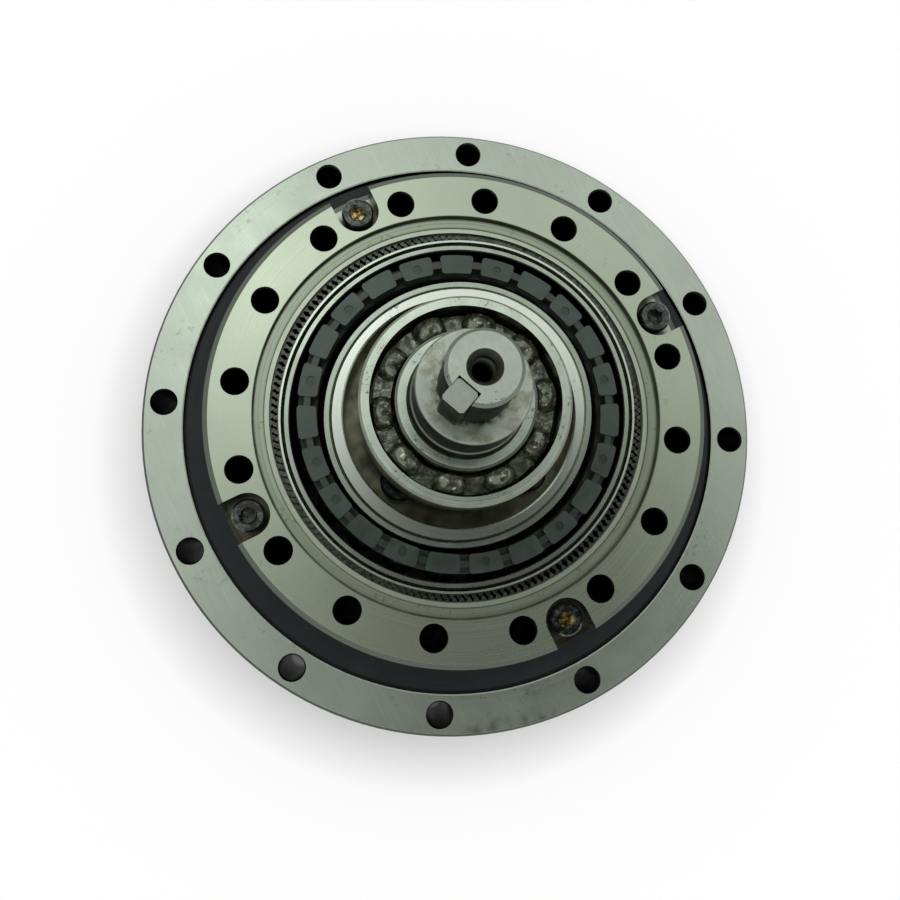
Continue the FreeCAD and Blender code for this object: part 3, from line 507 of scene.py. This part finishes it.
def shaft_steel():
    """Input shaft: dull ground ends, painted shade on its walls, edges and seat, yellowish stains in its
    corner, and an end hole blackened with painted shade.
    """
    f = Finish("shaft_steel")
    clouds = f.patches(3.5, 0.36, 0.66, detail=5.0, rough=0.65)
    colour = f.lay(SHAFT_LIGHT, SHAFT_DULL, clouds, 0.45)
    lines = f.math("MAXIMUM", f.scratches(width=0.05, length=2.5, turn=0.5, rarity=0.62),
                   f.scratches(width=0.06, length=2.0, turn=1.9, rarity=0.64))
    colour = f.lay(colour, BRIGHT, lines, 0.35)
    foot = f.band(f.height, SHAFT_FOOT - 0.4, SHAFT_FOOT + 0.6, 0.3)
    stains = f.patches(2.2, 0.46, 0.62, detail=5.0, rough=0.7)
    colour = f.lay(colour, STAIN, stains, f.scaled(foot, 0.15, 1.0), 0.6)
    corner = f.times(foot, f.band(f.radius, *CORNER_RADII, 0.35))
    colour = f.lay(colour, OIL_AND_SHADE_BROWN, corner, f.patches(1.2, 0.40, 0.60, detail=3.0))
    # painted shade below the seat's edge
    colour = f.lay(colour, OIL_AND_SHADE_GREY, f.fall(f.height, SHAFT_SEAT - 0.1, SHAFT_SEAT + 0.1), 0.9)
    # painted shade on the end chamfer and the shoulder's edge
    end_edge = f.times(f.spread(f.radius, END_EDGE_RADIUS - 0.02, END_EDGE_RADIUS + 0.05),
                       f.spread(f.height, SHAFT_END - 0.55, SHAFT_END - 0.45))
    foot_edge = f.band(f.height, SHAFT_FOOT - SHOULDER_EDGE - 0.03, SHAFT_FOOT - 0.04, 0.02)
    colour = f.lay(colour, SHAFT_EDGE_SHADE, f.math("MAXIMUM", end_edge, foot_edge), 0.85)
    # painted shade on the walls
    colour = f.lay(colour, f.mix(f.clouds(3.0), SHAFT_WALL_SHADE_LIGHT, SHAFT_WALL_SHADE_DARK), f.walls, 0.9)
    colour = f.lay(colour, OIL_AND_SHADE_BLACK, f.spots(size=0.35, rarity=0.62, patch=2.5, patch_rarity=0.58))
    # painted shade in the end hole, darkest deep down
    hole = f.times(f.fall(f.radius, END_MOUTH_RADIUS - 0.05, END_MOUTH_RADIUS + 0.02),
                   f.fall(f.height, SHAFT_END - 0.25, SHAFT_END - 0.05))
    deep = f.fall(f.height, SHAFT_END - 5.0, SHAFT_END - 0.8)
    colour = f.lay(colour, f.mix(deep, END_HOLE_SHADE, OIL_AND_SHADE_BLACK), hole)
    f.bump(f.math("ADD", f.rings(0.10, sweep=1.5), f.times(lines, 0.5)), 0.004)
    return f.done(colour, f.scaled(clouds, 0.32, 0.44), 1.0, glance=DULL_GLANCE)


def key_steel():
    """Drawn key: smoother than the shaft, with painted shade on its sides."""
    f = Finish("key_steel")
    clouds = f.clouds(1.8)
    # painted shade on the sides
    colour = f.lay(f.mix(clouds, KEY_PALE, KEY_DULL), KEY_WALL_SHADE, f.walls, SIDE_SHARE)
    f.bump(f.noise(0.3, rough=0.6), 0.006)
    return f.done(colour, f.scaled(clouds, 0.30, 0.42), 1.0, glance=DULL_GLANCE)


def screw_steel(name, black, worn, socket_top=None):
    """Black oxide screws, worn in places; sockets below socket_top hold old grease under painted shade, two
    of them amber grease with a painted glint.
    """
    f = Finish(name)
    wear = f.patches(0.8, 0.45, 0.70)
    colour = f.mix(wear, black, worn)
    if socket_top:
        # old grease with painted shade in the sockets
        socket = f.fall(f.height, socket_top - 0.5, socket_top - 0.2)
        colour = f.lay(colour, f.mix(f.clouds(0.8), OIL_AND_SHADE_GREY, OIL_AND_SHADE_BLACK), socket)
        # amber grease with a painted glint in two sockets
        sector = f.band(f.math("ABSOLUTE", f.angle), *AMBER_ANGLES, 0.004)
        middle = f.times(sector, f.band(f.radius, *AMBER_RADII, 0.12))
        colour = f.lay(colour, AMBER_GREASE_GLINT, socket, middle, f.patches(0.7, 0.45, 0.60, detail=3.0))
    f.bump(wear, 0.015)
    return f.done(colour, f.scaled(wear, 0.14, 0.34), 0.9)


def cage_polymer():
    """Dark grey-green moulded cage, wet with oil in places, matte between its pads, and darkened there and
    below its pad tops with painted shade.
    """
    f = Finish("cage_polymer")
    top = top_of("wave_bearing_cage")
    colour = f.mix(f.clouds(3.0), CAGE_LIGHT, CAGE_DARK)
    colour = f.lay(colour, CAGE_OIL, f.clouds(7.0), 0.6)
    # painted shade below the pads' tops, deeper between the pads
    colour = f.lay(colour, CAGE_SUNK_SHADE, f.fall(f.height, top - 0.13, top - 0.07), 0.8)
    deep = f.fall(f.height, top - 0.7, top - 0.25)
    colour = f.lay(colour, CAGE_DEEP_SHADE, deep)
    wet = f.patches(5.0, 0.40, 0.76)
    rough = f.math("MAXIMUM", f.scaled(wet, 0.34, 0.18), f.times(deep, 0.7))
    f.bump(f.noise(0.25, rough=0.6), 0.008)
    return f.done(colour, rough, 0.0, shine=1.0, glance=GREEN_GLANCE)


def seal_rubber():
    """Blue-black rubber with a dusty bloom."""
    f = Finish("seal_rubber")
    colour = f.mix(f.patches(6.0, 0.42, 0.70, detail=5.0, rough=0.65), SEAL_BLACK, SEAL_BLOOM)
    grain = f.rings(0.3)
    f.bump(f.math("ADD", grain, f.noise(0.2, detail=2.0)), 0.008)
    return f.done(colour, f.turned(grain, 0.38, 0.52), 0.0, shine=0.38)


def spacer_polymer():
    """Plain tan spacers between the rollers."""
    f = Finish("spacer_polymer")
    clouds = f.clouds(1.5)
    f.bump(clouds, 0.01)
    return f.done(f.mix(clouds, SPACER_LIGHT, SPACER_DARK), f.scaled(clouds, 0.4, 0.55), 0.0)


def dress_nodes():
    """Give every CAD node its finish, and return the shaft's."""
    balls = ball_steel()
    screws = screw_steel("screw_steel", SCREW_BLACK, SCREW_WORN)
    wet_screws = screw_steel("wet_screw_steel", HEAD_BLACK, HEAD_WORN, top_of("assembly_screws"))
    ring_finish = ring_steel()
    spline = spline_steel()
    plug = plug_steel()
    finishes = {
        "outer_ring": ring_finish, "filling_plug": ring_finish, "filling_plug_pin": balls,
        "circular_spline": spline, "bearing_inner_ring": spline, "flexspline": flex_steel(),
        "wave_outer_race": race_steel("outer_race_steel"),
        "wave_inner_race": race_steel("inner_race_steel"),
        "wave_bearing_balls": balls, "wave_bearing_cage": cage_polymer(),
        "cross_rollers": balls, "roller_spacers": spacer_polymer(),
        "wave_plug": plug, "spacer_sleeve": plug, "input_shaft": shaft_steel(), "shaft_key": key_steel(),
        "assembly_screws": wet_screws, "flange_screws": screws, "wave_plug_screws": screws,
        "oil_seal": seal_rubber()}
    for bearing in ("front_bearing", "rear_bearing"):
        for piece in ("_inner_ring", "_outer_ring"):
            finishes[bearing + piece] = bearing_steel(bearing + piece)
        finishes[bearing + "_balls"] = balls
        finishes[bearing + "_cage"] = ribbon_steel(bearing + "_cage")
    for node, material in finishes.items():
        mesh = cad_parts[node].data
        mesh.materials.clear()
        mesh.materials.append(material)
    return finishes["input_shaft"]


def new_object(name, data):
    """A new object in the scene."""
    thing = bpy.data.objects.new(name, data)
    bpy.context.scene.collection.objects.link(thing)
    return thing


# Thread in the shaft end, in millimetres
THREAD_RADIUS = 1.51
THREAD_CREST_RADIUS = 1.26
THREAD_PITCH = 0.5
THREAD_HALF_WIDTH = 0.21
THREAD_LOW = 47.2
THREAD_HIGH = 53.5
THREAD_STEPS = 32
THREAD_START = 0.15
THREAD_CORNERS = 3


def shaft_thread(material):
    """Closed helical ridge in the end hole, lower at its two ends."""
    steps = round((THREAD_HIGH - THREAD_LOW) / THREAD_PITCH * THREAD_STEPS)
    points = []
    for step in range(steps + 1):
        turns = step / THREAD_STEPS
        angle = 2 * math.pi * turns
        level = THREAD_LOW + THREAD_PITCH * turns
        share = max(THREAD_START, min(1.0, turns, (steps - step) / THREAD_STEPS))
        crest = THREAD_RADIUS - (THREAD_RADIUS - THREAD_CREST_RADIUS) * share
        corners = ((THREAD_RADIUS, -THREAD_HALF_WIDTH), (crest, 0.0), (THREAD_RADIUS, THREAD_HALF_WIDTH))
        for radius, rise in corners:
            points.append(Vector((radius * math.cos(angle), radius * math.sin(angle), level + rise)) * MM)
    last = THREAD_CORNERS * steps
    faces = [(0, 2, 1), (last, last + 1, last + 2)]
    for low in range(0, last, THREAD_CORNERS):
        high = low + THREAD_CORNERS
        for first, second in ((0, 1), (1, 2), (2, 0)):
            faces.append((low + first, low + second, high + second, high + first))
    mesh = bpy.data.meshes.new("shaft_end_thread")
    mesh.from_pydata(points, [], faces)
    mesh.materials.append(material)
    piece = new_object("shaft_end_thread", mesh)
    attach(piece, "wave_generator")


# Levels, in millimetres, between which the flexspline is cut into rings
BEND_LOW = 6.0
BEND_HIGH = 19.0
BEND_RINGS = 40
CUT_REACH = 1e-7


def bending_flexspline():
    """The CAD flexspline cut into rings, as a copy that stands in for the hidden original."""
    low = BEND_LOW * MM
    high = BEND_HIGH * MM
    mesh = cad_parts["flexspline"].data.copy()
    shape = bmesh.new()
    shape.from_mesh(mesh)
    for step in range(BEND_RINGS + 1):
        level = low + (high - low) * step / BEND_RINGS
        everything = shape.verts[:] + shape.edges[:] + shape.faces[:]
        bmesh.ops.bisect_plane(
            shape, geom=everything, plane_co=(0, 0, level), plane_no=(0, 0, 1), dist=CUT_REACH)
    shape.to_mesh(mesh)
    shape.free()
    piece = new_object("flexspline_bending", mesh)
    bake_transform(piece)
    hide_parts("flexspline")


# Stage, light and camera
SKY = 0.74
HORIZON = 1.0
HORIZON_RISE = 0.6
SHADE = 0.05
SHADE_TILT, SHADE_TURN = radians(10.0, -55.0)
SHADE_INNER, SHADE_OUTER = radians(12.0, 20.0)
FLOOR_SIZE = 12.0
FLOOR_GREY = tone(0.62, 0.62, 0.62)
FLOOR_ROUGHNESS = 0.9
FLOOR_GLOW = 0.55
SHADOW_RADII = (0.040, 0.058)
LAMP_TILT, LAMP_TURN = radians(22.0, 88.0)
LAMP_DISTANCE = 0.9
LAMP_SIZE = 0.20
LAMP_POWER = 0.155
CAMERA_POINT = Vector((-20.9, -14.0, 144.3)) * MM
CAMERA_AIM = Vector((-2.57, -3.53, 21.0)) * MM
CAMERA_UP_ANGLE = math.radians(62.9)
CAMERA_LENS = 34.05
CAMERA_NEAR = 0.005


def towards(tilt, turn):
    """Direction from the object, tilted from straight up."""
    return Vector((math.sin(tilt) * math.cos(turn), math.sin(tilt) * math.sin(turn), math.cos(tilt)))


def sky():
    """Pale room with a bright horizon and a dark patch where the photographer leans over."""
    world = bpy.data.worlds.new("studio")
    bpy.context.scene.world = world
    world.use_nodes = True
    nodes = Nodes(world.node_tree)
    view = nodes.add("ShaderNodeTexCoord").outputs["Generated"]
    middle = towards(SHADE_TILT, SHADE_TURN)
    near = nodes.add("ShaderNodeVectorMath", {0: view, 1: middle}, operation="DOT_PRODUCT").outputs["Value"]
    shade = nodes.spread(near, math.cos(SHADE_OUTER), math.cos(SHADE_INNER), interpolation_type="SMOOTHSTEP")
    height = nodes.add("ShaderNodeSeparateXYZ", {0: view}).outputs[2]
    rise = nodes.spread(height, 0.0, HORIZON_RISE, HORIZON, SKY)
    background = nodes.tree.nodes["Background"]
    background.inputs["Color"].default_value = WHITE
    nodes.put(background.inputs["Strength"], nodes.blend(shade, rise, SHADE))


def floor():
    """Pale floor that reads white to the camera and in reflections, keeps the soft shadow of its lamps, and
    has a painted shadow where its glow fades under the object.
    """
    mesh = bpy.data.meshes.new("floor")
    half = FLOOR_SIZE / 2
    corners = [(-half, -half, 0), (half, -half, 0), (half, half, 0), (-half, half, 0)]
    mesh.from_pydata(corners, [], [(0, 1, 2, 3)])
    plane = new_object("floor", mesh)
    material = bpy.data.materials.new("floor")
    material.use_nodes = True
    nodes = Nodes(material.node_tree)
    path = nodes.add("ShaderNodeLightPath")
    seen = path.outputs["Is Camera Ray"]
    for ray in ("Is Glossy Ray", "Is Transmission Ray"):
        seen = nodes.math("MAXIMUM", seen, path.outputs[ray])
    place = nodes.add("ShaderNodeTexCoord").outputs["Object"]
    distance = nodes.add("ShaderNodeVectorMath", {0: place}, operation="LENGTH").outputs["Value"]
    # painted shadow: the glow fades out near the object
    glow = nodes.times(seen, nodes.spread(distance, *SHADOW_RADII, 0.0, FLOOR_GLOW))
    shader = nodes.tree.nodes["Principled BSDF"]
    shader.inputs["Base Color"].default_value = FLOOR_GREY
    shader.inputs["Roughness"].default_value = FLOOR_ROUGHNESS
    shader.inputs["Emission Color"].default_value = WHITE
    nodes.put(shader.inputs["Emission Strength"], glow)
    mesh.materials.append(material)


def key_light():
    """One square lamp, high over the object and towards the top of the picture."""
    lamp = bpy.data.lights.new("key", "AREA")
    lamp.size = LAMP_SIZE
    lamp.energy = LAMP_POWER
    holder = new_object("key", lamp)
    direction = towards(LAMP_TILT, LAMP_TURN)
    holder.location = direction * LAMP_DISTANCE
    holder.rotation_euler = direction.to_track_quat("Z", "Y").to_euler()


def camera():
    """The photo's viewpoint, close above the object."""
    data = bpy.data.cameras.new("camera")
    data.lens = CAMERA_LENS
    data.clip_start = CAMERA_NEAR
    holder = new_object("camera", data)
    back = (CAMERA_POINT - CAMERA_AIM).normalized()
    up = Vector((math.cos(CAMERA_UP_ANGLE), math.sin(CAMERA_UP_ANGLE), 0))
    right = up.cross(back).normalized()
    turn = Matrix((right, back.cross(right), back)).transposed()
    holder.matrix_world = Matrix.Translation(CAMERA_POINT) @ turn.to_4x4()
    bpy.context.scene.camera = holder


shaft_thread(dress_nodes())
bending_flexspline()
sky()
floor()
key_light()
camera()
bpy.context.scene.view_settings.view_transform = "Standard"
